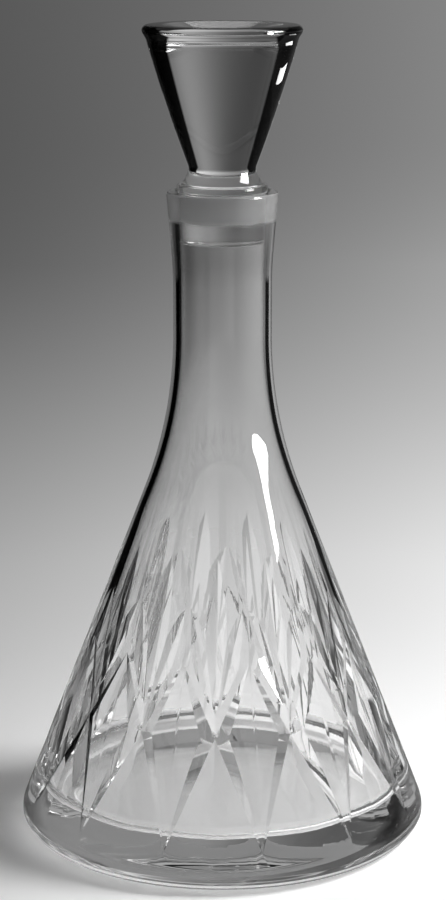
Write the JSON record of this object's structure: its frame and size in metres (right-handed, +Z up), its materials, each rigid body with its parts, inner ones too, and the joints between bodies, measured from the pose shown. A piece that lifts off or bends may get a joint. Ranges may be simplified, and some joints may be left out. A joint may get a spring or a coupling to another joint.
{
  "type": "glass decanter",
  "caption": "Clear glass decanter with a conical body, a band of mitre cuts, a short neck and a solid ground stopper with a flared disc top.",
  "frame": {"origin": "middle of the foot ring, on the plane that the decanter rests on", "axes": "+Z up along the neck, -Y towards the front"},
  "size_m": [0.152, 0.152, 0.3],
  "materials": {
    "clear_glass": "polished clear glass, with a ground band inside the mouth",
    "stopper_glass": "polished clear glass, with a ground plug"
  },
  "bodies": {
    "body": {"decanter_body": "clear_glass"},
    "stopper": {"stopper": "stopper_glass"}
  },
  "joints": [
    {"name": "stopper_lift", "type": "slide", "parent": "body", "child": "stopper", "axis": [0, 0, 1], "range_m": [0, 0.045]}
  ]
}
